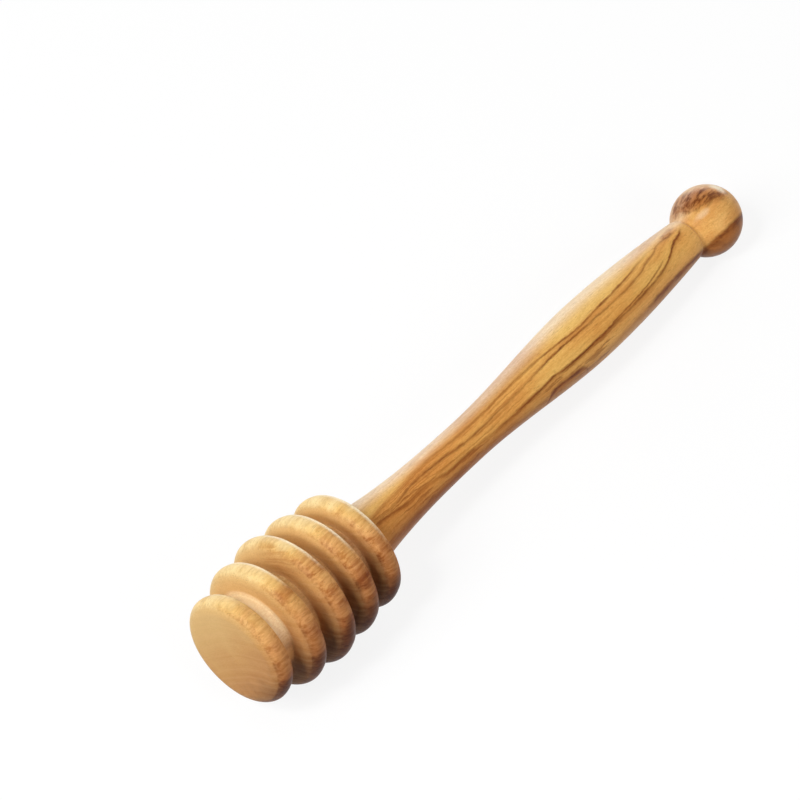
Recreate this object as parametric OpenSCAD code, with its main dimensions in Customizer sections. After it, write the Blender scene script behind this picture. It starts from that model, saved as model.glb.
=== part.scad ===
// Honey dipper turned from olive wood, lying on a table.
// The ribbed head and the long handle are turned separately. A round tenon on the
// handle is glued into a blind bore in the back of the head.
// Lengths are in millimetres. Each outline lists [radius, distance along the axis],
// and the distance starts at the front face of the head.

/* [Which pieces] */
// Piece to draw, or all of them

/* [Head] */
// Distance from the front of one disc to the front of the next
disc_pitch = 7.7; // [6.6:0.1:9]
// Thickness of each disc
disc_thickness = 4.1; // [3.4:0.1:5.2]
// Radius of the first disc, which carries the flat front face
first_disc_r = 11.9; // [11:0.1:15]
// Radius of the second disc
second_disc_r = 13.6; // [12.4:0.1:16]
// Radius of the middle disc, the widest one
middle_disc_r = 14.3; // [13:0.1:17]
// Radius of the fourth disc
fourth_disc_r = 13.6; // [12.4:0.1:16]
// Radius of the last disc, which the handle's shoulder meets
last_disc_r = 12.7; // [12.2:0.1:15]
// Radius of the core at the bottom of the grooves
core_r = 8.5; // [7:0.1:8.8]
// How far inside the rim the flat face of each disc ends
face_edge_in = 1.8; // [1.2:0.1:2.2]
// How far along the axis the rounding from that edge to the crest of the rim reaches
round_len = 2.3; // [1.6:0.1:2.7]
// Depth of the quarter ellipse that the rounding is a part of
round_depth = 3.3; // [2.5:0.1:3.6]
// How much the rim falls from its crest to its back edge
rim_fall = 0.35; // [0.15:0.05:0.6]
// Radius of the softened back edge of each disc
back_edge_r = 0.35; // [0.2:0.05:0.6]

/* [Handle] */
// Radius of the shoulder that sits on the back of the head
shoulder_r = 7.1; // [6:0.1:8.5]
// How fast the handle narrows as it leaves the shoulder
shoulder_slope = 0.19; // [0.1:0.01:0.3]
// Distance from the shoulder to the waist
waist_reach = 36; // [28:1:44]
// Radius of the waist, the thinnest part of the grip
waist_r = 4.55; // [3.8:0.05:5.5]
// Distance from the waist to the belly
belly_reach = 39.4; // [32:0.2:48]
// Radius of the belly, the thickest part of the grip
belly_r = 6.75; // [6:0.05:8]
// Distance from the belly to the end of the grip
grip_end_reach = 33.4; // [26:0.2:40]
// Radius of the end of the grip
grip_end_r = 4.8; // [4.6:0.1:5.6]
// How fast the grip narrows at its end
grip_end_slope = 0.1; // [0:0.01:0.16]

/* [Ball end] */
// Radius of the ball
ball_r = 7.7; // [7:0.1:9]
// Radius of the neck between the grip and the ball
neck_r = 4.05; // [3.2:0.05:4.2]
// Distance from the end of the grip to the bottom of the neck
neck_reach = 1.05; // [0.8:0.05:2]
// Radius of the hollow where the neck turns up into the ball
neck_hollow_r = 0.9; // [0.3:0.1:1.2]

/* [Glued joint] */
// Radius of the tenon
tenon_r = 4; // [3.2:0.1:4.6]
// Length of the tenon
tenon_len = 22; // [16:1:26]
// Chamfer around the tenon's end
tenon_chamfer = 0.8; // [0.4:0.1:1.2]
// Thickness of the glue between the tenon and the bore
glue_thickness = 0.1; // [0.05:0.01:0.2]
// Glue-filled relief between the tenon's end and the bottom of the bore
bore_relief = 0.8; // [0.4:0.1:1.5]
// Chamfer around the mouth of the bore
mouth_chamfer = 0.4; // [0.2:0.1:0.8]

/* [Hidden] */
$fn = 180;

disc_radii = [first_disc_r, second_disc_r, middle_disc_r, fourth_disc_r, last_disc_r];
last_disc = len(disc_radii) - 1;
head_len = last_disc * disc_pitch + disc_thickness;
waist_z = head_len + waist_reach;
belly_z = waist_z + belly_reach;
grip_end_z = belly_z + grip_end_reach;

// The hollow of the neck touches the ball from outside, which places the ball's centre
neck_z = grip_end_z + neck_reach;
hollow_centre_r = neck_r + neck_hollow_r;
ball_z = neck_z + sqrt(pow(ball_r + neck_hollow_r, 2) - pow(hollow_centre_r, 2));
ball_start_angle = asin(hollow_centre_r / (ball_r + neck_hollow_r));

// The rounding of a disc starts this far round its ellipse, where the flat face ends
edge_angle = asin(1 - face_edge_in / round_depth);
round_axis = round_len / cos(edge_angle);

// The bore ends in the cone that the tip of a drill leaves
bore_r = tenon_r + glue_thickness;
tenon_end_z = head_len - tenon_len;
bore_end_z = tenon_end_z - bore_relief;
drill_half_angle = 59;
bore_tip_z = bore_end_z - bore_r / tan(drill_half_angle);

// Steps along the curves
round_steps = 9;
land_steps = 5;
edge_steps = 3;
grip_steps = 14;
neck_steps = 5;
ball_step_angle = 3;

// Radius along a smooth stretch from r0 to r1, with slopes m0 and m1 at its ends
function smooth_r(r0, m0, r1, m1, length, s) =
    r0 * (2 * pow(s, 3) - 3 * pow(s, 2) + 1)
    + m0 * length * (pow(s, 3) - 2 * pow(s, 2) + s)
    + r1 * (3 * pow(s, 2) - 2 * pow(s, 3))
    + m1 * length * (pow(s, 3) - pow(s, 2));

// Outline of one disc: rounding from the face's edge, falling rim and softened back edge
function disc_front(r, z) =
    [for (i = [0:round_steps])
        let (a = edge_angle + (90 - edge_angle) * i / round_steps)
        [r - round_depth * (1 - sin(a)), z + round_axis * (cos(edge_angle) - cos(a))]];

function disc_rim(r, z) =
    let (length = disc_thickness - round_len - back_edge_r)
    [for (i = [1:land_steps])
        let (s = i / land_steps)
        [r - rim_fall * pow(s, 2), z + round_len + length * s]];

function disc_back(r, z) =
    [for (i = [1:edge_steps])
        let (a = 90 * i / edge_steps)
        [r - rim_fall - back_edge_r * (1 - cos(a)),
         z + disc_thickness - back_edge_r * (1 - sin(a))]];

// One disc with the foot of its front face and the foot of its back on the core
function disc_outline(k) =
    let (r = disc_radii[k], z = k * disc_pitch)
    concat(
        k > 0 ? [[core_r, z]] : [[0, z]],
        disc_front(r, z),
        disc_rim(r, z),
        disc_back(r, z),
        k < last_disc ? [[core_r, z + disc_thickness]] : []);

// Bore in the back of the head, from its tip to its mouth
bore_outline = [
    [0, bore_tip_z],
    [bore_r, bore_end_z],
    [bore_r, head_len - mouth_chamfer],
    [bore_r + mouth_chamfer, head_len]];

// Tenon, from the middle of its end to the shoulder
tenon_outline = [
    [0, tenon_end_z],
    [tenon_r - tenon_chamfer, tenon_end_z],
    [tenon_r, tenon_end_z + tenon_chamfer],
    [tenon_r, head_len]];

function reversed(points) = [for (i = [len(points) - 1:-1:0]) points[i]];

head_outline = concat(
    [for (k = [0:last_disc]) each disc_outline(k)],
    reversed(bore_outline));

// Grip: shoulder to waist, waist to belly, belly to the end of the grip
function grip_stretch(z, r0, m0, r1, m1, length) =
    [for (i = [1:grip_steps])
        let (s = i / grip_steps)
        [smooth_r(r0, m0, r1, m1, length, s), z + length * s]];

grip_outline = concat(
    [[shoulder_r, head_len]],
    grip_stretch(head_len, shoulder_r, -shoulder_slope, waist_r, 0, waist_reach),
    grip_stretch(waist_z, waist_r, 0, belly_r, 0, belly_reach),
    grip_stretch(belly_z, belly_r, 0, grip_end_r, -grip_end_slope, grip_end_reach));

// Neck: the end of the grip falls into it, and its hollow turns up to the ball
neck_outline = concat(
    [for (i = [1:neck_steps])
        let (s = i / neck_steps)
        [smooth_r(grip_end_r, -grip_end_slope, neck_r, 0, neck_reach, s), grip_end_z + neck_reach * s]],
    [for (i = [1:neck_steps])
        let (a = (90 - ball_start_angle) * i / neck_steps)
        [neck_r + neck_hollow_r * (1 - cos(a)), neck_z + neck_hollow_r * sin(a)]]);

// Ball, from where the hollow touches it to the far end of the axis
ball_steps = ceil((180 - ball_start_angle) / ball_step_angle);
ball_outline =
    [for (i = [1:ball_steps])
        let (a = ball_start_angle + (180 - ball_start_angle) * i / ball_steps)
        [i < ball_steps ? ball_r * sin(a) : 0, ball_z - ball_r * cos(a)]];

handle_outline = concat(tenon_outline, grip_outline, neck_outline, ball_outline);

// The glue fills the bore around the tenon and below it
glue_outline = concat(bore_outline, reversed(tenon_outline));

// How far an outline reaches at right angles to the table when the axis dips by a degrees
function reach(points, a) = max([for (p = points) p[1] * sin(a) + p[0] * cos(a)]);

// The dipper rests on its widest disc and its ball, so the dip of the axis is the angle
// at which both reach the table. Each round brings the estimate closer.
function resting_dip(a, rounds) =
    rounds <= 0 ? a
    : let (head_reach = reach(head_outline, a), ball_reach = reach(handle_outline, a) - ball_z * sin(a))
      resting_dip(asin((head_reach - ball_reach) / ball_z), rounds - 1);

dip_rounds = 8;
dip = resting_dip(0, dip_rounds);
axis_height = max(reach(head_outline, dip), reach(handle_outline, dip));

// Ends of the lying dipper along the table, measured from the centre of the front face
front_end = max([for (p = head_outline) p[0] * sin(dip) - p[1] * cos(dip)]);
ball_end = max([for (p = handle_outline) p[0] * sin(dip) + p[1] * cos(dip)]);

// Lays the dipper down with its front face towards -Y, centred over the origin
module lay_down() {
    translate([0, (front_end - ball_end) / 2, axis_height])
        rotate([-90 - dip, 0, 0])
            children();
}

// Turns an outline about the axis of the dipper
module turned(outline) {
    lay_down()
        rotate_extrude()
            polygon(outline);
}

module head() {
    color([0.80, 0.58, 0.36])
        turned(head_outline);
}

module handle() {
    color([0.83, 0.62, 0.34])
        turned(handle_outline);
}

module glue_film() {
    color([0.86, 0.80, 0.62])
        turned(glue_outline);
}

head();
handle();
glue_film();
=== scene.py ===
from math import asin, cos, pi, radians, sin, sqrt, tan

import bmesh
import bpy
from mathutils import Matrix, Vector


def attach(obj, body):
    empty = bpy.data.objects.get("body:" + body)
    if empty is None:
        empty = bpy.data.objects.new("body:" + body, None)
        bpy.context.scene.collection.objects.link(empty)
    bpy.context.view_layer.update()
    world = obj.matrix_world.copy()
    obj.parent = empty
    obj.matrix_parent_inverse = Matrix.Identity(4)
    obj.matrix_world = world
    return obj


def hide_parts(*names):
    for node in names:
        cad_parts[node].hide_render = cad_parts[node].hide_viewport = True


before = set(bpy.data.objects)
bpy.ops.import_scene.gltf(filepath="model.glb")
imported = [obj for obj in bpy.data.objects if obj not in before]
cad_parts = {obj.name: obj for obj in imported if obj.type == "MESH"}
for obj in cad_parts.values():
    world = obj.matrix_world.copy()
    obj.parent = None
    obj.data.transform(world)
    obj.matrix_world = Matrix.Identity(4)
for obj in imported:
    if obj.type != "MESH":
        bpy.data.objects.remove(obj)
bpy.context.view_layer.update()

# The head: a barrel of five discs on one core, cut with a parting tool on the lathe.
# Pale olive wood, sanded and oiled. The front face is flat, and a blind bore in the
# back takes the handle.

MM = 0.001

disc_pitch = 7.7
disc_thickness = 4.1
disc_radii = [11.9, 13.6, 14.3, 13.6, 12.7]
core_r = 8.5
face_edge_in = 1.8
round_len = 2.3
round_depth = 3.3
rim_fall = 0.35
back_edge_r = 0.35
head_len = (len(disc_radii) - 1) * disc_pitch + disc_thickness

# The rounding of a disc starts this far round its ellipse, where the flat face ends
edge_angle = asin(1 - face_edge_in / round_depth)
round_axis = round_len / cos(edge_angle)

# The bore is the tenon with glue around it and a drill's point at its end
tenon_r = 4.0
tenon_len = 22.0
tenon_chamfer = 0.8
glue_thickness = 0.1
bore_relief = 0.8
mouth_chamfer = 0.4
drill_half_angle = radians(59)
bore_r = tenon_r + glue_thickness
mouth_r = bore_r + mouth_chamfer
tenon_end_y = head_len - tenon_len
bore_end_y = tenon_end_y - bore_relief
bore_tip_y = bore_end_y - bore_r / tan(drill_half_angle)

# Sanding takes a little off everywhere, which keeps the wood just inside the drawn size,
# and it softens the corners
sanded_off = 0.02
foot_softness = 0.3
crease_softness = 0.7

# How the dipper lies: its widest disc and its ball touch the table, so the axis dips
# towards the ball. The middle of the front face is at face_y and axis_height.
dip = radians(2.81522)
axis_height = 15.1523 * MM
face_y = -79.4017 * MM
lay_down = Matrix.Translation((0, face_y, axis_height)) @ Matrix.Rotation(-dip, 4, "X")


def stretch(start, end, count):
    """Points on the straight line from start to end, without its two ends."""
    return [tuple(a + (b - a) * i / (count + 1) for a, b in zip(start, end)) for i in range(1, count + 1)]


def softened(before, corner, after, softness, count=5):
    """The corner of an outline, rounded off. Before and after only give the directions of
    its two sides."""
    corner_at = Vector(corner)
    to_before = (Vector(before) - corner_at).normalized()
    to_after = (Vector(after) - corner_at).normalized()
    points = []
    for i in range(count + 1):
        s = i / count
        away = to_before * softness * (1 - s) ** 2 + to_after * softness * s ** 2
        points.append(tuple(corner_at + away))
    return points


def disc_rounding(r, y, count=40):
    """The part of an ellipse that rounds a disc from the edge of its face to its rim."""
    points = []
    for i in range(count + 1):
        a = edge_angle + (pi / 2 - edge_angle) * i / count
        points.append((r - round_depth * (1 - sin(a)), y + round_axis * (cos(edge_angle) - cos(a))))
    return points


def disc_rim(r, y, count=10):
    """The rim of a disc, which falls a little from its crest to its back edge."""
    land_len = disc_thickness - round_len - back_edge_r
    points = []
    for i in range(1, count + 1):
        s = i / count
        points.append((r - rim_fall * s ** 2, y + round_len + land_len * s))
    return points


def disc_back_edge(r, back_y, count=8):
    """The softened back edge of a disc."""
    points = []
    for i in range(1, count + 1):
        a = pi / 2 * i / count
        points.append((r - rim_fall - back_edge_r * (1 - cos(a)), back_y - back_edge_r * (1 - sin(a))))
    return points


def disc_outline(k):
    """[radius, distance along the axis] of one disc, from the foot of its front to the
    foot of its back, and of the core behind it."""
    r = disc_radii[k]
    face_r = r - face_edge_in
    back_r = r - rim_fall - back_edge_r
    y = k * disc_pitch
    back_y = y + disc_thickness
    foot_r = core_r + foot_softness
    if k == 0:
        face = stretch((0, y), (face_r, y), count=20)
    else:
        face = softened((core_r, y - 1), (core_r, y), (face_r, y), foot_softness)
        face += stretch((foot_r, y), (face_r, y), count=8)
    rounding = [point for point in disc_rounding(r, y) if point[0] > face_r + crease_softness]
    points = [point for point in face if point[0] < face_r - crease_softness]
    points += softened((0, y), (face_r, y), rounding[0], crease_softness, count=12)
    points += rounding + disc_rim(r, y) + disc_back_edge(r, back_y)
    if k < len(disc_radii) - 1:
        points += stretch((back_r, back_y), (foot_r, back_y), count=12)
        points += softened((back_r, back_y), (core_r, back_y), (core_r, back_y + 1), foot_softness)
        points += stretch(
            (core_r, back_y + foot_softness), (core_r, y + disc_pitch - foot_softness), count=10)
    return points


def turned(name, outline, sides=180):
    """A piece turned from an outline of [radius, distance along the axis], in millimetres,
    and laid on the table. The ends of the outline lie on the axis."""
    mesh = bpy.data.meshes.new(name)
    bm = bmesh.new()
    rings = []
    for r, y in outline:
        if r == 0:
            rings.append([bm.verts.new((0, y * MM, 0))])
            continue
        r -= sanded_off
        ring = []
        for i in range(sides):
            a = 2 * pi * i / sides
            ring.append(bm.verts.new((r * sin(a) * MM, y * MM, r * cos(a) * MM)))
        rings.append(ring)
    for ring, following in zip(rings, rings[1:]):
        for i in range(sides):
            j = (i + 1) % sides
            corners = [ring[i % len(ring)], ring[j % len(ring)],
                       following[j % len(following)], following[i % len(following)]]
            bm.faces.new(list(dict.fromkeys(corners)))
    bmesh.ops.recalc_face_normals(bm, faces=bm.faces)
    bm.transform(lay_down)
    bm.to_mesh(mesh)
    bm.free()
    mesh.polygons.foreach_set("use_smooth", [True] * len(mesh.polygons))
    piece = bpy.data.objects.new(name, mesh)
    bpy.context.scene.collection.objects.link(piece)
    return piece


last_back_r = disc_radii[-1] - rim_fall - back_edge_r
head_outline = [(0, 0)]
for k in range(len(disc_radii)):
    head_outline += disc_outline(k)
head_outline += stretch((last_back_r, head_len), (mouth_r, head_len), count=20)
head_outline += [(mouth_r, head_len), (bore_r, head_len - mouth_chamfer)]
head_outline += stretch((bore_r, head_len - mouth_chamfer), (bore_r, bore_end_y), count=20)
head_outline += [(bore_r, bore_end_y), (0, bore_tip_y)]

head_wood = turned("turned_head", head_outline)
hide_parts("head")
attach(head_wood, "root")


def colour(red, green, blue):
    """A colour as it is seen, 0 to 255, as the linear values that a shader takes."""
    def linear(c):
        c /= 255
        return c / 12.92 if c <= 0.04045 else ((c + 0.055) / 1.055) ** 2.4
    return (linear(red), linear(green), linear(blue), 1)


def set_inputs(tree, node, inputs):
    """Set a node's inputs to values, or join them to outputs of other nodes."""
    for key, value in inputs.items():
        if isinstance(value, bpy.types.NodeSocket):
            tree.links.new(value, node.inputs[key])
        else:
            node.inputs[key].default_value = value


def shade_node(tree, kind, inputs=None, **settings):
    """A new node with its settings and its inputs."""
    node = tree.nodes.new(kind)
    for key, value in settings.items():
        setattr(node, key, value)
    set_inputs(tree, node, inputs or {})
    return node


def calc(tree, operation, a, b=0.0, c=0.0, clamp=False):
    """The result of one operation on up to three values."""
    inputs = {0: a, 1: b}
    if operation == "MULTIPLY_ADD":
        inputs[2] = c
    return shade_node(tree, "ShaderNodeMath", inputs, operation=operation, use_clamp=clamp).outputs[0]


def times(tree, first, *others):
    """The product of two or more values."""
    for other in others:
        first = calc(tree, "MULTIPLY", first, other)
    return first


def total(tree, first, *others):
    """The sum of two or more values."""
    for other in others:
        first = calc(tree, "ADD", first, other)
    return first


def off_from(tree, value, middle):
    """How far value is from the middle, on either side."""
    return calc(tree, "ABSOLUTE", calc(tree, "SUBTRACT", value, middle))


def distance(tree, across, up):
    """The length of the way that goes this far across and this far up."""
    squares = calc(tree, "MULTIPLY_ADD", up, up, times(tree, across, across))
    return calc(tree, "SQRT", squares)


def fade(tree, value, low, high, out_low=0.0, out_high=1.0):
    """A smooth change from out_low to out_high while value goes from low to high."""
    inputs = {"Value": value, "From Min": low, "From Max": high, "To Min": out_low, "To Max": out_high}
    return shade_node(tree, "ShaderNodeMapRange", inputs, interpolation_type="SMOOTHSTEP").outputs[0]


def within(tree, value, start, full, tail, end):
    """A mask that rises while value goes from start to full, and falls from tail to end."""
    return times(tree, fade(tree, value, start, full), fade(tree, value, end, tail))


def blend(tree, factor, a, b, how="MIX"):
    """Colour a with as much of colour b as factor says."""
    inputs = {0: factor, 6: a, 7: b}
    return shade_node(tree, "ShaderNodeMix", inputs, data_type="RGBA", blend_type=how).outputs[2]


def ramp(tree, value, stops):
    """A colour that changes with value through stops of (value, colour)."""
    node = shade_node(tree, "ShaderNodeValToRGB", {0: value})
    elements = node.color_ramp.elements
    for element, (position, tone) in zip(elements, (stops[0], stops[-1])):
        element.position, element.color = position, tone
    for position, tone in stops[1:-1]:
        elements.new(position).color = tone
    return node.outputs[0]


def noise(tree, place, scale, detail=2.0, roughness=0.5):
    """Noise with its own scale across, along and up, in features per millimetre."""
    scaled = shade_node(tree, "ShaderNodeVectorMath", {0: place, 1: scale}, operation="MULTIPLY")
    inputs = {"Vector": scaled.outputs[0], "Scale": 1.0, "Detail": detail, "Roughness": roughness}
    return shade_node(tree, "ShaderNodeTexNoise", inputs).outputs["Fac"]


def new_group(name, inputs, outputs):
    """An empty shader node group with named sockets: {name: default} in, [names] out."""
    tree = bpy.data.node_groups.new(name, "ShaderNodeTree")
    for socket, default in inputs.items():
        kind = "NodeSocketVector" if isinstance(default, tuple) else "NodeSocketFloat"
        tree.interface.new_socket(name=socket, in_out="INPUT", socket_type=kind).default_value = default
    for socket in outputs:
        tree.interface.new_socket(name=socket, in_out="OUTPUT", socket_type="NodeSocketFloat")
    return tree, tree.nodes.new("NodeGroupInput"), tree.nodes.new("NodeGroupOutput")


def use_group(tree, group, inputs):
    """The outputs of a node group put into a material."""
    node = tree.nodes.new("ShaderNodeGroup")
    node.node_tree = group
    set_inputs(tree, node, inputs)
    return node.outputs


def make_grain():
    """Olive wood without its dark veins: growth layers round a far pith, fine fibres,
    longer flecks, open pores, rusty blotches, speckle and slow changes of tone. Place is
    in millimetres from the front face."""
    tree, given, result = new_group(
        "olive_grain",
        {"Place": (0.0, 0.0, 0.0), "Pith Across": -30.0, "Pith Up": 60.0,
         "Layer Spacing": 1.2, "Waviness": 1.0},
        ["Layers", "Fibres", "Flecks", "Pores", "Blotches", "Clouds", "Speckle"])
    place = given.outputs["Place"]
    parts = shade_node(tree, "ShaderNodeSeparateXYZ", {0: place}).outputs
    from_pith = distance(
        tree, calc(tree, "SUBTRACT", parts[0], given.outputs["Pith Across"]),
        calc(tree, "SUBTRACT", parts[2], given.outputs["Pith Up"]))
    widest_wander = 8.0
    wander = calc(tree, "SUBTRACT", noise(tree, place, (0.10, 0.022, 0.10), 3.0, 0.55), 0.5)
    wander = times(tree, wander, times(tree, given.outputs["Waviness"], widest_wander))
    depth = calc(tree, "DIVIDE", calc(tree, "ADD", from_pith, wander), given.outputs["Layer Spacing"])
    layers = shade_node(
        tree, "ShaderNodeTexNoise", {"W": depth, "Scale": 1.0, "Detail": 3.0, "Roughness": 0.6},
        noise_dimensions="1D").outputs["Fac"]
    masks = {
        "Layers": (layers, 0.3, 0.7),
        "Fibres": (noise(tree, place, (3.2, 0.2, 3.2), 3.0, 0.6), 0.32, 0.68),
        "Flecks": (noise(tree, place, (1.7, 0.11, 1.7), 2.0, 0.55), 0.36, 0.64),
        "Pores": (noise(tree, place, (5.5, 0.55, 5.5), 1.0, 0.5), 0.62, 0.76),
        "Blotches": (noise(tree, place, (0.42, 0.16, 0.42), 3.0, 0.6), 0.36, 0.64),
        "Clouds": (noise(tree, place, (0.16, 0.05, 0.16), 3.0, 0.6), 0.3, 0.7),
        "Speckle": (noise(tree, place, (4.0, 1.6, 4.0), 2.0, 0.6), 0.36, 0.64)}
    for name, (value, low, high) in masks.items():
        tree.links.new(fade(tree, value, low, high), result.inputs[name])
    return tree


def make_turning_marks():
    """The fine rings that a lathe tool and sandpaper leave round the axis."""
    tree, given, result = new_group("turning_marks", {"Place": (0.0, 0.0, 0.0)}, ["Rings"])
    parts = shade_node(tree, "ShaderNodeSeparateXYZ", {0: given.outputs["Place"]}).outputs
    radius = distance(tree, parts[0], parts[2])
    flat = shade_node(tree, "ShaderNodeCombineXYZ", {0: radius, 1: parts[1]}).outputs[0]
    tree.links.new(noise(tree, flat, (3.5, 3.5, 0.0), 4.0, 0.65), result.inputs["Rings"])
    return tree


olive_grain = make_grain()
turning_marks = make_turning_marks()

# The wood was turned about its axis by this much when the dipper was laid down
turned_over = radians(27.3)
wood_frame = lay_down @ Matrix.Rotation(turned_over, 4, "Y")


def place_in_wood(tree):
    """The place in the wood, in millimetres: across, along the axis and up."""
    here = shade_node(tree, "ShaderNodeTexCoord").outputs["Object"]
    inputs = {"Vector": here, "Location": wood_frame.translation,
              "Rotation": wood_frame.to_euler(), "Scale": (MM, MM, MM)}
    return shade_node(tree, "ShaderNodeMapping", inputs, vector_type="TEXTURE").outputs[0]


def end_grain(tree):
    """A mask of the faces that cut straight across the fibres."""
    normal = shade_node(tree, "ShaderNodeTexCoord").outputs["Normal"]
    axis = lay_down.to_3x3() @ Vector((0, 1, 0))
    facing = shade_node(tree, "ShaderNodeVectorMath", {0: normal, 1: axis}, operation="DOT_PRODUCT")
    return fade(tree, calc(tree, "ABSOLUTE", facing.outputs["Value"]), 0.55, 0.97)


def new_material(name):
    """A material with an empty node tree."""
    material = bpy.data.materials.new(name)
    material.use_nodes = True
    material.node_tree.nodes.clear()
    return material, material.node_tree


speckle_tint = (0.84, 0.74, 0.6, 1)


def finish_wood(tree, tone, place, grain, cut_across, ring_height, smoothest, roughest, sheen):
    """The oiled surface that every piece of wood ends in: pores, fibres and turning marks
    in low relief, and a satin sheen."""
    rings = use_group(tree, turning_marks, {"Place": place})["Rings"]
    height = calc(tree, "MULTIPLY_ADD", grain["Pores"], -0.6, times(tree, grain["Fibres"], 0.4))
    height = calc(tree, "MULTIPLY_ADD", rings, ring_height, height)
    bump = shade_node(tree, "ShaderNodeBump", {"Height": height, "Strength": 0.35, "Distance": 0.06 * MM})
    roughness = fade(tree, grain["Fibres"], 0.0, 1.0, smoothest, roughest)
    roughness = calc(tree, "MULTIPLY_ADD", cut_across, 0.06, roughness)
    shader = shade_node(tree, "ShaderNodeBsdfPrincipled", {
        "Base Color": tone, "Roughness": roughness, "Normal": bump.outputs[0], "IOR": 1.45,
        "Specular IOR Level": 0.1, "Sheen Weight": sheen, "Sheen Roughness": 0.35})
    output = shade_node(tree, "ShaderNodeOutputMaterial")
    tree.links.new(shader.outputs[0], output.inputs[0])


head_material, tree = new_material("head_olive_wood")
place = place_in_wood(tree)
grain = use_group(tree, olive_grain, {
    "Place": place, "Pith Across": 30.0, "Pith Up": -14.0, "Layer Spacing": 1.1, "Waviness": 0.3})
across, along, up = shade_node(tree, "ShaderNodeSeparateXYZ", {0: place}).outputs
radius = distance(tree, across, up)
angle = calc(tree, "ARCTAN2", across, up)
cut_across = end_grain(tree)
cut_along = calc(tree, "SUBTRACT", 1.0, cut_across)

# The wood turns from golden on one side to brown on the other: partly heartwood, partly
# painted shade on the side away from the lamps. Painted shade also darkens the faces of the
# back discs and the far side towards the back, deep in the grooves.
painted_groove_shade = times(tree, along, fade(tree, cut_across, 0.0, 1.0, 0.02, 0.12))
cloudy = times(tree, grain["Clouds"], fade(tree, cut_across, 0.4, 1.0, 7.0, 3.0))
# Painted shade: the far side of the head darker towards the back discs
painted_back_shade = times(tree, along, fade(tree, across, 8.0, 12.5, 0.0, 0.14))
heart_and_painted_shade = total(tree, cloudy, painted_back_shade, across, painted_groove_shade)
heart_and_painted_shade = fade(tree, calc(tree, "MULTIPLY_ADD", grain["Layers"], 0.3, heart_and_painted_shade), -11.0, 20.0)
side_tone = ramp(tree, heart_and_painted_shade, [
    (0.0, colour(247, 222, 164)), (0.2, colour(238, 197, 124)), (0.38, colour(226, 176, 110)),
    (0.62, colour(210, 152, 94)), (0.85, colour(172, 112, 66)), (1.0, colour(98, 54, 28))])
end_tone = ramp(tree, heart_and_painted_shade, [
    (0.0, colour(224, 186, 124)), (0.4, colour(204, 154, 94)), (0.65, colour(190, 136, 82)),
    (1.0, colour(104, 58, 28))])
tone = blend(tree, cut_across, side_tone, end_tone)

# Rusty blotches and brown streaks lie on the rims, more of them on the heartwood side
rust_tint = (0.66, 0.49, 0.35, 1)
streak_tint = (0.66, 0.51, 0.38, 1)
on_rim = times(tree, fade(tree, radius, core_r + 0.2, core_r + 2.0, 0.25, 1.0),
               fade(tree, cut_across, 0.5, 1.0, 1.0, 0.15))
rust = times(tree, grain["Blotches"], fade(tree, grain["Flecks"], 0.0, 1.0, 0.6, 1.0),
             fade(tree, across, -10.0, 3.0, 0.25, 0.9), fade(tree, along, 10.0, 16.0, 0.7, 1.1))
tone = blend(tree, times(tree, rust, on_rim), tone, rust_tint, "MULTIPLY")
streaks = times(tree, grain["Flecks"], fade(tree, across, -9.0, 4.0, 0.3, 0.85),
                fade(tree, grain["Clouds"], 0.2, 0.8, 0.5, 1.0))
tone = blend(tree, times(tree, streaks, on_rim), tone, streak_tint, "MULTIPLY")

# A darker flame in the grain crosses the second disc near the top
flame_angle = -0.1
flame_middle = disc_pitch + round_len
flame_tint = (0.68, 0.5, 0.34, 1)
flame = times(tree, fade(tree, off_from(tree, angle, flame_angle), 0.4, 0.0),
              fade(tree, off_from(tree, along, flame_middle), 3.0, 1.0),
              fade(tree, grain["Clouds"], 0.2, 0.8, 0.45, 0.8))
tone = blend(tree, times(tree, flame, cut_along), tone, flame_tint, "MULTIPLY")

# A brown figure of growth layers shows on the face of the middle disc
layered_angle = -0.6
layered_middle = 2 * disc_pitch + 0.5
layered_tint = (0.7, 0.53, 0.38, 1)
layered = times(tree, fade(tree, off_from(tree, angle, layered_angle), 0.65, 0.1),
                fade(tree, off_from(tree, along, layered_middle), 1.6, 0.5),
                fade(tree, grain["Layers"], 0.1, 0.8, 0.35, 0.85))
tone = blend(tree, layered, tone, layered_tint, "MULTIPLY")

# Growth layers show pale on the faces, and speckle and pores show everywhere
tone = blend(tree, times(tree, grain["Layers"], cut_across, 0.14), tone, colour(236, 196, 142))
tone = blend(tree, times(tree, grain["Speckle"], 0.4), tone, speckle_tint, "MULTIPLY")
tone = blend(tree, times(tree, grain["Pores"], 0.35), tone, colour(104, 60, 30))

# Painted highlights: pale lines along the back edges of the discs, on the side towards the back lamps
place_on_disc = calc(tree, "FLOORED_MODULO", along, disc_pitch)
highlight_side = calc(tree, "MULTIPLY_ADD", along, -0.25, across)
painted_edge_highlight = within(tree, place_on_disc, disc_thickness - 1.2, disc_thickness - 0.3,
              disc_thickness + 0.05, disc_thickness + 0.2)
painted_edge_highlight = times(tree, painted_edge_highlight, fade(tree, highlight_side, -4.0, -12.0, 0.0, 0.9),
             fade(tree, along, disc_thickness, disc_pitch, 0.2, 1.0),
             fade(tree, grain["Speckle"], 1.0, 0.0, 0.6, 1.0), cut_along)
# Painted highlight on the back edges
tone = blend(tree, painted_edge_highlight, tone, colour(250, 234, 200))

# Painted light: the bottom of the first groove is paler on the side that the light reaches into
painted_groove_light = times(tree, fade(tree, radius, core_r + 1.3, core_r + 0.4),
                  fade(tree, along, disc_pitch + 3.0, disc_pitch, 0.15, 0.95),
                  fade(tree, along, 1.0, disc_thickness - 0.4),
                  fade(tree, across, 7.0, 1.0, 0.05, 1.0),
                  fade(tree, grain["Speckle"], 0.0, 1.0, 1.0, 0.7))
# Painted light in the first groove
tone = blend(tree, painted_groove_light, tone, colour(250, 226, 184))

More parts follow.
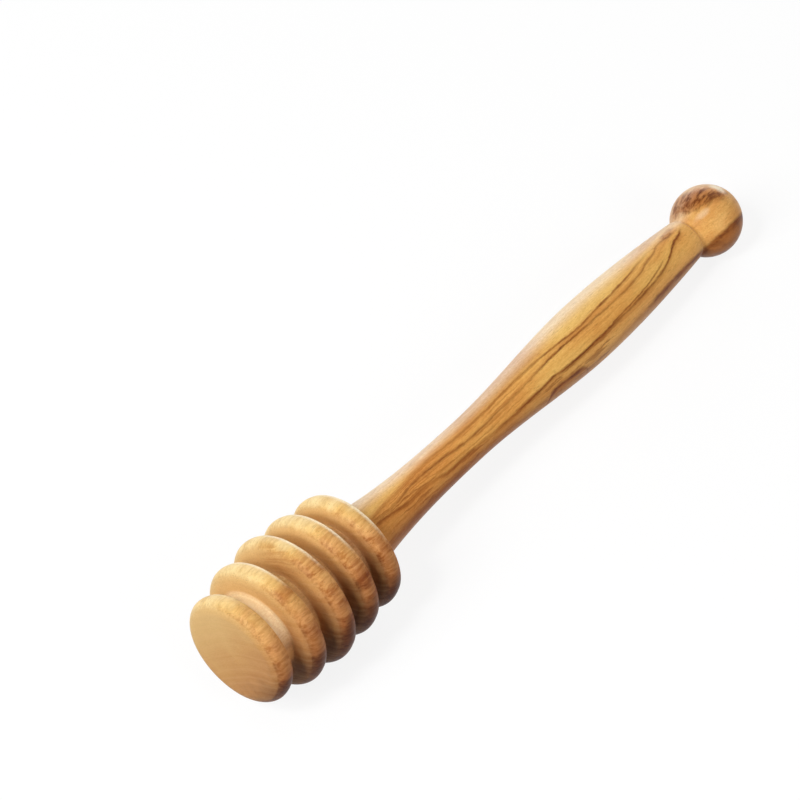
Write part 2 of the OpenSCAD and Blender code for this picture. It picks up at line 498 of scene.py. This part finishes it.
finish_wood(tree, tone, place, grain, cut_across,
            ring_height=0.5, smoothest=0.36, roughest=0.48, sheen=0.07)
head_wood.data.materials.append(head_material)

# The handle: shoulder, waist, belly, neck and ball turned from one piece of veined
# olive wood, with the tenon that is glued into the head.

shoulder_r = 7.1
shoulder_slope = 0.19
shoulder_softness = 0.12
waist_reach = 36.0
waist_r = 4.55
belly_reach = 39.4
belly_r = 6.75
grip_end_reach = 33.4
grip_end_r = 4.8
grip_end_slope = 0.1
ball_r = 7.7
neck_r = 4.05
neck_reach = 1.05
neck_hollow_r = 0.9
waist_y = head_len + waist_reach
belly_y = waist_y + belly_reach
grip_end_y = belly_y + grip_end_reach
neck_y = grip_end_y + neck_reach

# The hollow of the neck touches the ball from outside, which places the ball's centre
hollow_centre_r = neck_r + neck_hollow_r
ball_y = neck_y + sqrt((ball_r + neck_hollow_r) ** 2 - hollow_centre_r ** 2)
ball_start = asin(hollow_centre_r / (ball_r + neck_hollow_r))


def smooth_r(r0, m0, r1, m1, length, s):
    """Radius along a smooth stretch from r0 to r1, with slopes m0 and m1 at its ends."""
    return (r0 * (2 * s ** 3 - 3 * s ** 2 + 1) + m0 * length * (s ** 3 - 2 * s ** 2 + s)
            + r1 * (3 * s ** 2 - 2 * s ** 3) + m1 * length * (s ** 3 - s ** 2))


def grip_stretch(y, r0, m0, r1, m1, length, count=90):
    """Points along a smooth stretch of the handle that starts at y."""
    points = []
    for i in range(1, count + 1):
        points.append((smooth_r(r0, m0, r1, m1, length, i / count), y + length * i / count))
    return points


def neck_hollow(count=10):
    """The hollow in which the neck turns up to the ball."""
    points = []
    for i in range(1, count + 1):
        a = (pi / 2 - ball_start) * i / count
        points.append((neck_r + neck_hollow_r * (1 - cos(a)), neck_y + neck_hollow_r * sin(a)))
    return points


def ball_outline(count=110):
    """The ball, from where the hollow touches it to the far end of the axis."""
    points = []
    for i in range(1, count):
        a = ball_start + (pi - ball_start) * i / count
        points.append((ball_r * sin(a), ball_y - ball_r * cos(a)))
    return points + [(0, ball_y + ball_r)]


chamfer_start = (tenon_r - tenon_chamfer, tenon_end_y)
chamfer_end = (tenon_r, tenon_end_y + tenon_chamfer)
tenon_foot = (tenon_r, head_len)
shoulder_edge = (shoulder_r, head_len)
handle_outline = [(0, tenon_end_y)]
handle_outline += stretch((0, tenon_end_y), chamfer_start, count=6)
handle_outline += [chamfer_start, chamfer_end]
handle_outline += stretch(chamfer_end, tenon_foot, count=30)
handle_outline += [tenon_foot]
handle_outline += stretch(tenon_foot, shoulder_edge, count=6)
handle_outline += softened(tenon_foot, shoulder_edge, (shoulder_r, head_len + 1), shoulder_softness)
handle_outline += [
    point for point in grip_stretch(head_len, shoulder_r, -shoulder_slope, waist_r, 0, waist_reach)
    if point[1] > head_len + 2 * shoulder_softness]
handle_outline += grip_stretch(waist_y, waist_r, 0, belly_r, 0, belly_reach)
handle_outline += grip_stretch(belly_y, belly_r, 0, grip_end_r, -grip_end_slope, grip_end_reach)
handle_outline += grip_stretch(grip_end_y, grip_end_r, -grip_end_slope, neck_r, 0, neck_reach, count=12)
handle_outline += neck_hollow() + ball_outline()

handle_wood = turned("turned_handle", handle_outline)
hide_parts("handle")
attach(handle_wood, "root")


def make_vein():
    """One dark growth layer cut by the surface: a dark line, with brown that spreads
    far on one side and a little on the other. A Spread below zero turns the sides round.
    Across, Centre, Width and Spread are in millimetres."""
    tree, given, result = new_group(
        "olive_vein",
        {"Across": 0.0, "Centre": 0.0, "Width": 0.25, "Spread": 0.9, "Depth": 1.0}, ["Line", "Halo"])
    side = calc(tree, "SUBTRACT", given.outputs["Across"], given.outputs["Centre"])
    near = calc(tree, "DIVIDE", calc(tree, "ABSOLUTE", side), given.outputs["Width"])
    line = fade(tree, near, 1.35, 0.0)
    far_side = calc(tree, "DIVIDE", side, given.outputs["Spread"])
    near_side = times(tree, far_side, -2.5)
    halo = calc(tree, "SUBTRACT", 1.0, calc(tree, "MAXIMUM", far_side, near_side), clamp=True)
    halo = times(tree, halo, halo)
    for socket, value in (("Line", line), ("Halo", halo)):
        tree.links.new(times(tree, value, given.outputs["Depth"]), result.inputs[socket])
    return tree


def along_curve(tree, along, points, low, high):
    """A value that follows points of (distance along the axis, value), between low and high."""
    start, end = points[0][0], points[-1][0]
    inputs = {"Value": along, "From Min": start, "From Max": end}
    place_on_curve = shade_node(tree, "ShaderNodeMapRange", inputs).outputs[0]
    node = shade_node(tree, "ShaderNodeFloatCurve", {"Value": place_on_curve})
    curve = node.mapping.curves[0]
    knots = [((y - start) / (end - start), (value - low) / (high - low)) for y, value in points]
    curve.points[0].location = knots[0]
    curve.points[1].location = knots[-1]
    for knot in knots[1:-1]:
        curve.points.new(*knot)
    node.mapping.update()
    return calc(tree, "MULTIPLY_ADD", node.outputs[0], high - low, low)


def lane(tree, value, start, end):
    """How far value has come from one vein to the next, held between 0 and 1."""
    covered = calc(tree, "SUBTRACT", value, start)
    return calc(tree, "DIVIDE", covered, calc(tree, "SUBTRACT", end, start), clamp=True)


olive_vein = make_vein()

# Each vein: how far across the handle it lies at distances along it, how dark it is
# there, its width, and how far its brown spreads on the soft side
veins = {
    "lower": {
        "path": [(39, -1.3), (45, -1.75), (50, -2.1), (55, -2.3), (60, -2.4), (66, -1.95), (75, -1.95),
                 (87.5, -2.4), (97, -2.1), (104, -1.6), (112, -2.0), (121, -2.45), (128.5, -3.2),
                 (142, -4.2), (160, -4.6)],
        "depth": [(39, 0.4), (48, 0.35), (60, 0.45), (68, 0.55), (80, 0.5), (90, 0.5), (97, 0.8),
                  (106, 0.8), (118, 0.8), (126, 0.45), (131, 0.1), (135, 0), (160, 0)],
        "width": 0.28, "spread": 0.9},
    "middle": {
        "path": [(39, -0.7), (45, -0.3), (50, -0.8), (54, -0.95), (58, -0.9), (61, -0.7), (63, -0.4),
                 (69, 0.1), (72.5, 0.1), (78, -0.15), (83, -0.2), (88, -0.45), (97, -0.95), (102, -0.85),
                 (108, -0.7), (117, -0.65), (121, -0.8), (125, -1.2), (128, -1.9), (132, -2.4),
                 (134, -3.1), (142, -3.4), (160, -3.6)],
        "depth": [(39, 0.5), (46, 0.7), (50, 0.9), (60, 1), (68, 0.9), (76, 0.65), (84, 0.5), (92, 0.7),
                  (98, 0.9), (104, 0.75), (112, 0.55), (122, 0.55), (130, 0.5), (134, 0.3), (138, 0),
                  (160, 0)],
        "width": 0.28, "spread": -0.9},
    "upper": {
        "path": [(39, 0.05), (42.5, 0.45), (47.5, 1.0), (53.5, 1.05), (55.5, 1.3), (59, 1.9), (66, 2.1),
                 (69, 2.2), (75, 2.45), (90, 2.45), (92.5, 2.35), (97, 2.75), (105, 2.8), (112, 2.75),
                 (119, 2.55), (125, 2.2), (129, 1.7), (132, 1.1), (134.5, 0.15), (136.5, -0.85),
                 (138, -1.3), (140, -1.7), (142.5, -2.4), (160, -2.6)],
        "depth": [(39, 0.9), (44, 0.9), (49, 0.7), (53, 0.6), (56, 0.45), (59, 0.9), (66, 0.9), (69, 0.5),
                  (72, 0.4), (78, 0.8), (84, 1), (92, 0.9), (100, 1), (109, 1), (112, 0.7), (118, 0.55),
                  (124, 0.9), (128, 0.7), (133, 0.85), (137, 1), (140, 1), (142.5, 0), (160, 0)],
        "width": 0.34, "spread": 1.3},
    "outer": {
        "path": [(39, 4.8), (49, 4.15), (56, 3.95), (66, 3.7), (76, 4.0), (84, 4.7), (98, 5.6), (110, 5.8),
                 (120, 5.3), (127, 4.9), (132, 4.55), (137, 4.3), (140, 4.3), (144, 4.2), (148, 4.4),
                 (151, 4.35), (155, 4.2), (160, 4.1)],
        "depth": [(39, 0.3), (48, 0.8), (58, 0.8), (66, 0.4), (76, 0.2), (100, 0.2), (116, 0.3),
                  (124, 0.6), (129, 1), (139, 1), (144, 0.8), (148, 1), (160, 1)],
        "width": 0.62, "spread": 2.0},
    "side_branch": {
        "path": [(111, 2.65), (114, 2.3), (119, 2.0), (124, 1.65), (127, 1.15), (129.5, 0.65), (132, 0.0)],
        "depth": [(111, 0.8), (116, 0.7), (124, 0.7), (130, 0.6), (132, 0.2)],
        "width": 0.22, "spread": 0.6},
    "near_branch": {
        "path": [(42, 0.25), (50, 0.2), (54, 0.8), (56, 0.9), (66, 1.35)],
        "depth": [(42, 0.5), (47, 0.6), (54, 0.6), (59, 0.35), (66, 0.2)],
        "width": 0.2, "spread": 0.6},
    "edge_lens": {
        "path": [(89, 6.2), (90, 5.3), (91, 4.65), (95, 4.6), (99, 4.95), (101, 5.4), (102, 6.2)],
        "depth": [(89, 0.7), (93, 1), (98, 1), (102, 0.6)],
        "width": 0.42, "spread": 2.2},
    "ball_vein": {
        "path": [(143, 4.45), (148, 4.65), (151, 4.6), (155, 4.45), (160, 4.3)],
        "depth": [(143, 1), (148, 1), (153, 1), (160, 1)],
        "width": 0.7, "spread": 1.6},
}

# No vein lies farther across than this, and the lens shows on the upper side alone
farthest_across = 8.0
only_on_top = ["edge_lens"]

handle_material, tree = new_material("handle_olive_wood")
place = place_in_wood(tree)
grain = use_group(tree, olive_grain, {
    "Place": place, "Pith Across": 90.0, "Pith Up": 10.0, "Layer Spacing": 1.0, "Waviness": 0.35})
straight_across, along, up = shade_node(tree, "ShaderNodeSeparateXYZ", {0: place}).outputs
cut_across = end_grain(tree)

# The veins waver a little everywhere, and wander off their course towards the underside
ripple = calc(tree, "SUBTRACT", noise(tree, place, (0.5, 0.22, 0.5), 3.0, 0.6), 0.5)
frayed = calc(tree, "SUBTRACT", noise(tree, place, (2.4, 0.6, 2.4), 3.0, 0.65), 0.5)
drift = calc(tree, "SUBTRACT", noise(tree, place, (0.05, 0.035, 0.16), 2.0, 0.5), 0.5)
widest_drift = 7.0
wandering = times(tree, drift, widest_drift, fade(tree, up, 1.0, -4.0))
across = calc(tree, "MULTIPLY_ADD", ripple, 0.5, straight_across)
across = calc(tree, "MULTIPLY_ADD", frayed, 0.5, across)
across = calc(tree, "ADD", across, wandering)

# The veins are wider towards the head
wider = fade(tree, along, 100.0, 62.0, 1.05, 1.5)

centres = {}
lines = 0.0
halos = 0.0
for name, vein in veins.items():
    centres[name] = along_curve(tree, along, vein["path"], -farthest_across, farthest_across)
    depth = along_curve(tree, along, vein["depth"], 0.0, 1.0)
    start, end = vein["path"][0][0], vein["path"][-1][0]
    here = within(tree, along, start - 1.5, start + 0.5, end - 0.5, end + 1.5)
    if name in only_on_top:
        here = times(tree, here, fade(tree, up, 0.4, 1.8))
    mask = use_group(tree, olive_vein, {
        "Across": across, "Centre": centres[name], "Width": times(tree, wider, vein["width"]),
        "Spread": vein["spread"], "Depth": times(tree, depth, here)})
    lines = calc(tree, "MAXIMUM", lines, mask["Line"])
    halos = calc(tree, "MAXIMUM", halos, mask["Halo"])

# The grain runs with the veins: flow counts 1 from each long vein to the next
past_lower = lane(tree, across, centres["lower"], centres["middle"])
past_middle = lane(tree, across, centres["middle"], centres["upper"])
past_upper = lane(tree, across, centres["upper"], centres["outer"])
below = calc(tree, "MINIMUM", calc(tree, "SUBTRACT", across, centres["lower"]), 0.0)
beyond = calc(tree, "MAXIMUM", calc(tree, "SUBTRACT", across, centres["outer"]), 0.0)
flow = total(tree, past_lower, past_middle, past_upper)
flow = calc(tree, "MULTIPLY_ADD", calc(tree, "ADD", below, beyond), 0.5, flow)
with_grain = shade_node(tree, "ShaderNodeCombineXYZ", {0: flow, 1: along, 2: up}).outputs[0]

# Golden wood in bands, more amber towards the head. Past the upper vein it is brown
# towards the head and paler towards the ball.
amber = colour(206, 132, 62)
tone = blend(tree, grain["Clouds"], colour(227, 166, 86), colour(242, 196, 110))
bands = fade(tree, noise(tree, with_grain, (1.6, 0.02, 0.08), 2.0, 0.5), 0.35, 0.65)
tone = blend(tree, times(tree, bands, 0.4), tone, amber)
tone = blend(tree, fade(tree, along, 88.0, 45.0, 0.0, 0.3), tone, amber)
toward_head = fade(tree, along, 114.0, 78.0)
tone = blend(tree, times(tree, past_middle, fade(tree, along, 60.0, 84.0, 0.36, 0.16)), tone, amber)
tone = blend(tree, times(tree, past_upper, toward_head, 0.6), tone, colour(168, 96, 44))
warm = times(tree, past_upper, fade(tree, toward_head, 0.6, 0.0, 0.0, 0.6))
tone = blend(tree, warm, tone, colour(246, 182, 106))

# Below the lower vein dull and bright stretches take turns, and the ball is golden
near_side = fade(tree, flow, 0.1, -0.5)
dull = calc(tree, "MAXIMUM", within(tree, along, 62.0, 72.0, 90.0, 98.0), fade(tree, along, 124.0, 136.0))
bright = calc(tree, "MAXIMUM", within(tree, along, 92.0, 102.0, 118.0, 130.0),
              fade(tree, along, 58.0, 46.0, 0.0, 0.6))
tone = blend(tree, times(tree, near_side, dull, 0.5), tone, colour(186, 128, 80))
tone = blend(tree, times(tree, near_side, bright, 0.7), tone, colour(244, 206, 122))
tone = blend(tree, fade(tree, along, 140.0, 144.0, 0.0, 0.6), tone, colour(234, 188, 114))

# Brown heartwood beyond the outer vein, and beyond its line on the ball
heart = times(tree, fade(tree, calc(tree, "SUBTRACT", across, centres["outer"]), -0.2, 1.8),
              fade(tree, along, 100.0, 144.0, 0.25, 0.92))
on_ball = times(tree, fade(tree, calc(tree, "SUBTRACT", across, centres["ball_vein"]), 0.0, 0.7),
                fade(tree, along, 143.0, 147.0, 0.0, 0.9))
tone = blend(tree, calc(tree, "MAXIMUM", heart, on_ball), tone, colour(132, 76, 38))

# Painted sheen: a near-white band along one side of the handle, where it faces the lamps behind
angle = calc(tree, "ARCTAN2", straight_across, up)
painted_limb_sheen = times(tree, within(tree, angle, -2.4, -1.7, -1.15, -0.45),
                fade(tree, distance(tree, straight_across, up), 2.0, 4.2),
                fade(tree, dull, 0.0, 1.0, 0.62, 0.46))
# Painted sheen on the handle's limb
tone = blend(tree, painted_limb_sheen, tone, colour(246, 233, 212))

# Fine fibres and threads, and short dark streaks past the upper vein
threads = fade(tree, noise(tree, with_grain, (5.0, 0.06, 0.15), 3.0, 0.6), 0.5, 0.64)
threads = times(tree, threads, fade(tree, along, 110.0, 60.0, 0.3, 0.8),
                fade(tree, flow, -0.4, 0.1, 0.25, 1.0), 0.7)
tone = blend(tree, times(tree, grain["Fibres"], 0.16), tone, colour(170, 100, 44))
tone = blend(tree, threads, tone, colour(168, 96, 40))
streaky = calc(tree, "MAXIMUM", within(tree, along, 42.0, 47.0, 76.0, 84.0),
               within(tree, along, 84.0, 88.0, 110.0, 118.0))
streaks = fade(tree, noise(tree, with_grain, (4.0, 0.1, 0.2), 3.0, 0.6), 0.53, 0.62)
streaks = times(tree, streaks, streaky, within(tree, flow, 1.8, 2.2, 3.0, 3.6), 0.6)
tone = blend(tree, streaks, tone, colour(140, 74, 30))

# Brown that spreads from the veins, and their dark lines, which are uneven along the
# grip and fainter towards the head
faintest = fade(tree, along, 142.0, 146.0, 0.5, 0.95)
uneven = fade(tree, noise(tree, place, (1.3, 0.3, 1.3), 3.0, 0.65), 0.34, 0.56, faintest, 1.0)
lines = times(tree, lines, fade(tree, along, 60.0, 100.0, 0.62, 0.92), uneven)
vein_brown = blend(tree, grain["Fibres"], colour(94, 40, 12), colour(126, 60, 18))
tone = blend(tree, times(tree, halos, 0.75), tone, colour(164, 90, 34))
tone = blend(tree, lines, tone, vein_brown)


def figure_and_highlight_patch(tree, middle_along, middle_across, slant, reach_along, reach_across):
    """A mask of one soft patch on the upper side of the handle, for figure and for painted highlights."""
    off_along = calc(tree, "SUBTRACT", along, middle_along)
    off_across = calc(tree, "SUBTRACT", across, middle_across)
    off_across = calc(tree, "MULTIPLY_ADD", off_along, -slant, off_across)
    off = distance(tree, calc(tree, "DIVIDE", off_across, reach_across),
                   calc(tree, "DIVIDE", off_along, reach_along))
    off = calc(tree, "MULTIPLY_ADD", ripple, 0.9, off)
    return times(tree, fade(tree, off, 1.3, 0.25), fade(tree, up, -1.5, 0.5))


# Figure where a knot was close, as (middle along, middle across, slant, reach along, reach
# across) and strength: dark across the ball with a trace at the grip's end. Painted
# highlights on the ball, in the same columns, lie beside it.
dark_figure = [
    ((150.6, -4.6, 0.55, 5.0, 3.0), 0.95),
    ((148.0, -4.0, 0.4, 2.4, 1.7), 0.9),
    ((138.2, -3.3, -0.1, 3.2, 0.8), 0.75)]
painted_ball_highlights = [
    ((155.2, -3.6, 0.2, 1.3, 1.8), 0.9),
    ((147.6, -1.5, 0.0, 1.5, 0.8), 0.3)]
mottled = times(tree, grain["Blotches"], fade(tree, along, 142.0, 146.0, 0.0, 0.4))
tone = blend(tree, mottled, tone, colour(206, 132, 64))
fibrous = fade(tree, noise(tree, place, (1.1, 0.3, 1.1), 5.0, 0.65), 0.4, 0.62)
for shape, strength in dark_figure:
    patch = times(tree, figure_and_highlight_patch(tree, *shape), strength)
    tone = blend(tree, times(tree, patch, 0.7), tone, colour(166, 92, 36))
    tone = blend(tree, times(tree, patch, fibrous), tone, colour(100, 48, 16))
# Painted highlights on the ball's top and front
for shape, strength in painted_ball_highlights:
    tone = blend(tree, times(tree, figure_and_highlight_patch(tree, *shape), strength), tone, colour(252, 238, 208))

tone = blend(tree, times(tree, grain["Speckle"], 0.5), tone, speckle_tint, "MULTIPLY")
tone = blend(tree, times(tree, grain["Pores"], 0.3), tone, colour(112, 66, 34))
finish_wood(tree, tone, place, grain, cut_across,
            ring_height=0.3, smoothest=0.28, roughest=0.42, sheen=0.12)
handle_wood.data.materials.append(handle_material)

# The glue: a thin cured film between tenon and bore, brushed on before the pieces were
# pushed together. Only the joint's cut edge would ever show it.

glue_material, tree = new_material("cured_glue_film")
place = place_in_wood(tree)
patches = noise(tree, place, (0.8, 0.5, 0.8), 3.0, 0.6)
glue_tone = blend(tree, patches, colour(224, 206, 150), colour(196, 164, 98))
bump = shade_node(tree, "ShaderNodeBump", {"Height": patches, "Strength": 0.4, "Distance": 0.1 * MM})
shader = shade_node(tree, "ShaderNodeBsdfPrincipled", {
    "Base Color": glue_tone, "Roughness": fade(tree, patches, 0.3, 0.7, 0.25, 0.45),
    "Normal": bump.outputs[0]})
output = shade_node(tree, "ShaderNodeOutputMaterial")
tree.links.new(shader.outputs[0], output.inputs[0])
glue_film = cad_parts["glue_film"]
glue_film.data.materials.clear()
glue_film.data.materials.append(glue_material)

# The table: a plain white floor that runs far behind the dipper. It takes the dipper's
# shadow, and it lights the dipper like light grey paint.

floor_half = 2.0
mesh = bpy.data.meshes.new("floor")
mesh.from_pydata(
    [(-floor_half, -floor_half, 0), (floor_half, -floor_half, 0),
     (floor_half, floor_half, 0), (-floor_half, floor_half, 0)],
    [], [(0, 1, 2, 3)])
floor = bpy.data.objects.new("floor", mesh)
bpy.context.scene.collection.objects.link(floor)


def seen_directly(tree):
    """A mask of the rays that see a surface, also in a mirror or through glass."""
    rays = shade_node(tree, "ShaderNodeLightPath").outputs
    seen = calc(tree, "MAXIMUM", rays["Is Camera Ray"], rays["Is Glossy Ray"])
    return calc(tree, "MAXIMUM", seen, rays["Is Transmission Ray"])


white = (1, 1, 1, 1)
floor_grey = (0.45, 0.45, 0.45, 1)
glow_share = 0.85
floor_material, tree = new_material("white_floor")
seen = seen_directly(tree)
paint = shade_node(tree, "ShaderNodeBsdfDiffuse", {"Color": blend(tree, seen, floor_grey, white)})
glow = shade_node(tree, "ShaderNodeEmission", {"Color": white, "Strength": 1.0})
mixed = shade_node(tree, "ShaderNodeMixShader", {
    0: times(tree, seen, glow_share), 1: paint.outputs[0], 2: glow.outputs[0]})
output = shade_node(tree, "ShaderNodeOutputMaterial")
tree.links.new(mixed.outputs[0], output.inputs[0])
floor.data.materials.append(floor_material)

# Light: the main soft box and a small one above it stand high in front, a large one hangs
# nearly overhead, weaker ones stand on the left and on the right, and a window and a long
# low strip behind the dipper whiten its far edge. The room around is white.

scene = bpy.context.scene
scene.view_settings.view_transform = "Standard"

world = bpy.data.worlds.new("white_room")
world.use_nodes = True
scene.world = world
tree = world.node_tree
tree.nodes.clear()
room_light = 0.05
strength = calc(tree, "MULTIPLY_ADD", seen_directly(tree), 1.0 - room_light, room_light)
background = shade_node(tree, "ShaderNodeBackground", {"Color": white, "Strength": strength})
output = shade_node(tree, "ShaderNodeOutputWorld")
tree.links.new(background.outputs[0], output.inputs[0])

lamp_distance = 0.9


def soft_box(name, around, height, width, depth, power):
    """A soft lamp aimed at the dipper: around is counted from +X towards +Y, height from
    the floor, both in degrees."""
    lamp = bpy.data.lights.new(name, "AREA")
    lamp.shape = "RECTANGLE"
    lamp.size, lamp.size_y, lamp.energy = width, depth, power
    box = bpy.data.objects.new(name, lamp)
    a, h = radians(around), radians(height)
    direction = Vector((cos(h) * cos(a), cos(h) * sin(a), sin(h)))
    box.location = direction * lamp_distance
    box.rotation_euler = direction.to_track_quat("Z", "Y").to_euler()
    scene.collection.objects.link(box)


soft_box("main_box", around=262, height=38, width=0.35, depth=0.35, power=4.2)
soft_box("spark_box", around=266, height=55, width=0.14, depth=0.14, power=2.6)
soft_box("top_box", around=85, height=68, width=1.0, depth=1.0, power=1.8)
soft_box("left_box", around=200, height=25, width=0.5, depth=0.5, power=0.6)
soft_box("right_box", around=0, height=30, width=0.5, depth=0.5, power=2.8)
soft_box("back_window", around=138, height=24, width=0.85, depth=0.75, power=1.0)
soft_box("back_strip", around=132, height=6, width=1.4, depth=0.16, power=4.6)

# The camera looks down on the dipper from the front right, as in the photograph. Its
# lens is long, and lens_pixels is the focal length in pixels of the picture.

camera_place = Vector((0.263009, -0.354793, 0.539363))
view_direction = Vector((-0.40549455, 0.50104525, -0.76454419))
lens_pixels = 3469.0
picture_width = 800
sensor_width = 36.0
nearest = 0.05
camera_data = bpy.data.cameras.new("camera")
camera_data.sensor_width = sensor_width
camera_data.lens = lens_pixels / picture_width * sensor_width
camera_data.clip_start = nearest
camera = bpy.data.objects.new("camera", camera_data)
camera.location = camera_place
camera.rotation_euler = view_direction.to_track_quat("-Z", "Y").to_euler()
scene.collection.objects.link(camera)
scene.camera = camera
